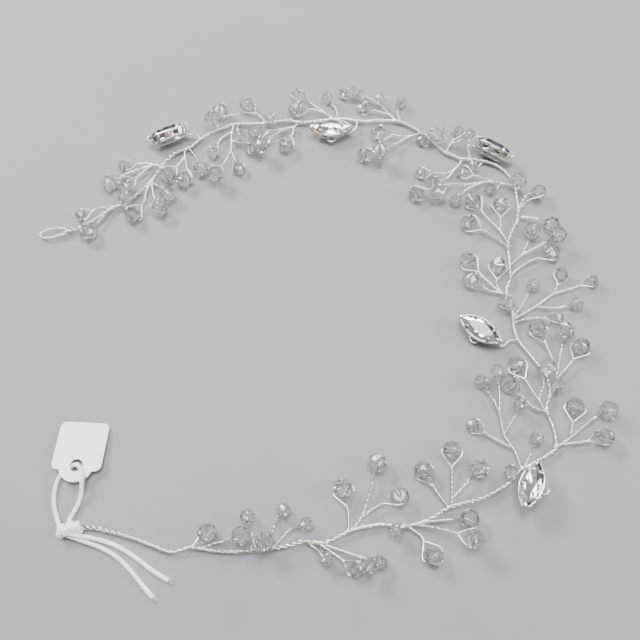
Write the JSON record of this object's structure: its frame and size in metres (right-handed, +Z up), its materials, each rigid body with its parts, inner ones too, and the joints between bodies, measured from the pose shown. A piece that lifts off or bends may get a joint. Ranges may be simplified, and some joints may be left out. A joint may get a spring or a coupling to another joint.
{
  "type": "bridal hair vine",
  "caption": "Flexible twisted-wire hair vine in an open ring, with sprays of clear bicone beads, navette stones in claw settings and a string tag.",
  "frame": {"origin": "middle of the vine's bounding box in plan, at the surface that it lies on; the string and its tag are left out", "axes": "+Z up from the surface, +X to the right and +Y away for someone who looks at the ring with its opening to the left"},
  "size_m": [0.1945, 0.1865, 0.0111],
  "materials": {
    "silver_wire": "bright silver-plated craft wire, twisted",
    "setting_silver": "polished silver-plated stamping",
    "bead_glass": "clear cut glass, polished facets",
    "stone_crystal": "clear cut crystal with a foiled back",
    "cotton_string": "plied white cotton, slightly fuzzy",
    "tag_card": "smooth white card"
  },
  "bodies": {
    "vine_first": {"large_beads_first": "bead_glass", "small_beads_first": "bead_glass", "stem_wires_first": "silver_wire", "vine_wire_first": "silver_wire", "end_eye": "silver_wire"},
    "vine_second": {"large_beads_second": "bead_glass", "small_beads_second": "bead_glass", "stem_wires_second": "silver_wire", "vine_wire_second": "silver_wire"},
    "vine_third": {"large_beads_third": "bead_glass", "small_beads_third": "bead_glass", "stem_wires_third": "silver_wire", "vine_wire_third": "silver_wire"},
    "vine_fourth": {"large_beads_fourth": "bead_glass", "small_beads_fourth": "bead_glass", "stem_wires_fourth": "silver_wire", "vine_wire_fourth": "silver_wire"},
    "vine_fifth": {"large_beads_fifth": "bead_glass", "stem_wires_fifth": "silver_wire", "vine_wire_fifth": "silver_wire"},
    "vine_sixth": {"large_beads_sixth": "bead_glass", "small_beads_sixth": "bead_glass", "stem_wires_sixth": "silver_wire", "vine_wire_sixth": "silver_wire"},
    "vine_seventh": {"small_beads_seventh": "bead_glass", "stem_wires_seventh": "silver_wire", "vine_wire_seventh": "silver_wire"},
    "vine_eighth": {"large_beads_eighth": "bead_glass", "small_beads_eighth": "bead_glass", "stem_wires_eighth": "silver_wire", "vine_wire_eighth": "silver_wire"},
    "vine_ninth": {"large_beads_ninth": "bead_glass", "small_beads_ninth": "bead_glass", "stem_wires_ninth": "silver_wire", "vine_wire_ninth": "silver_wire"},
    "vine_last": {"vine_wire_last": "silver_wire"},
    "stone_first": {"crystal_first": "stone_crystal", "setting_first": "setting_silver"},
    "stone_second": {"crystal_second": "stone_crystal", "setting_second": "setting_silver"},
    "stone_fourth": {"crystal_fourth": "stone_crystal", "setting_fourth": "setting_silver"},
    "stone_sixth": {"crystal_sixth": "stone_crystal", "setting_sixth": "setting_silver"},
    "stone_seventh": {"crystal_seventh": "stone_crystal", "setting_seventh": "setting_silver"},
    "string": {"string_knot": "cotton_string", "string_loop": "cotton_string", "string_tail_long": "cotton_string", "string_tail_short": "cotton_string"},
    "tag": {"price_tag": "tag_card"}
  },
  "joints": [
    {"name": "bend_first_second", "type": "hinge", "parent": "vine_second", "child": "vine_first", "pos_m": [-0.0397, 0.0679, 0.0016], "axis": [0, 0, -1], "range_deg": [-4, 8]},
    {"name": "bend_second_third", "type": "hinge", "parent": "vine_third", "child": "vine_second", "pos_m": [0.0183, 0.0739, 0.0016], "axis": [0, 0, -1], "range_deg": [-4, 8]},
    {"name": "bend_third_fourth", "type": "hinge", "parent": "vine_fourth", "child": "vine_third", "pos_m": [0.0526, 0.0574, 0.0016], "axis": [0, 0, -1], "range_deg": [-4, 8]},
    {"name": "bend_fourth_fifth", "type": "hinge", "parent": "vine_fifth", "child": "vine_fourth", "pos_m": [0.0735, 0.0319, 0.0016], "axis": [0, 0, -1], "range_deg": [-4, 8]},
    {"name": "bend_fifth_sixth", "type": "hinge", "parent": "vine_fifth", "child": "vine_sixth", "pos_m": [0.0669, -0.006, 0.0016], "axis": [0, 0, 1], "range_deg": [-4, 8]},
    {"name": "bend_sixth_seventh", "type": "hinge", "parent": "vine_sixth", "child": "vine_seventh", "pos_m": [0.0717, -0.0558, 0.0016], "axis": [0, 0, 1], "range_deg": [-4, 8]},
    {"name": "bend_seventh_eighth", "type": "hinge", "parent": "vine_seventh", "child": "vine_eighth", "pos_m": [0.0499, -0.0691, 0.0016], "axis": [0, 0, 1], "range_deg": [-4, 8]},
    {"name": "bend_eighth_ninth", "type": "hinge", "parent": "vine_eighth", "child": "vine_ninth", "pos_m": [0.0071, -0.0799, 0.0016], "axis": [0, 0, 1], "range_deg": [-4, 8]},
    {"name": "bend_ninth_last", "type": "hinge", "parent": "vine_ninth", "child": "vine_last", "pos_m": [-0.0407, -0.084, 0.0016], "axis": [0, 0, 1], "range_deg": [-4, 8]},
    {"name": "rock_stone_first", "type": "hinge", "parent": "vine_first", "child": "stone_first", "pos_m": [-0.05365, 0.06319, 0.00316], "axis": [0.9136, 0.4067, 0], "range_deg": [-8, 8]},
    {"name": "rock_stone_second", "type": "hinge", "parent": "vine_second", "child": "stone_second", "pos_m": [0.00646, 0.06884, 0.00181], "axis": [0.9986, 0.0523, 0], "range_deg": [-8, 8]},
    {"name": "rock_stone_fourth", "type": "hinge", "parent": "vine_fourth", "child": "stone_fourth", "pos_m": [0.06517, 0.05652, 0.00305], "axis": [0.8192, -0.5736, 0], "range_deg": [-8, 8]},
    {"name": "rock_stone_sixth", "type": "hinge", "parent": "vine_sixth", "child": "stone_sixth", "pos_m": [0.05494, -0.01442, 0.00179], "axis": [0.7986, -0.6018, 0], "range_deg": [-8, 8]},
    {"name": "rock_stone_seventh", "type": "hinge", "parent": "vine_seventh", "child": "stone_seventh", "pos_m": [0.06562, -0.06617, 0.00386], "axis": [0.3746, 0.9272, 0], "range_deg": [-8, 8]},
    {"name": "swing_string", "type": "hinge", "parent": "vine_last", "child": "string", "pos_m": [-0.0719, -0.078, 0.0016], "axis": [0, 0, 1], "range_deg": [-15, 4]},
    {"name": "turn_tag", "type": "hinge", "parent": "string", "child": "tag", "pos_m": [-0.0715, -0.059, 0.00195], "axis": [0.005, 0.0957, 0.9954], "range_deg": [-12, 12]}
  ]
}
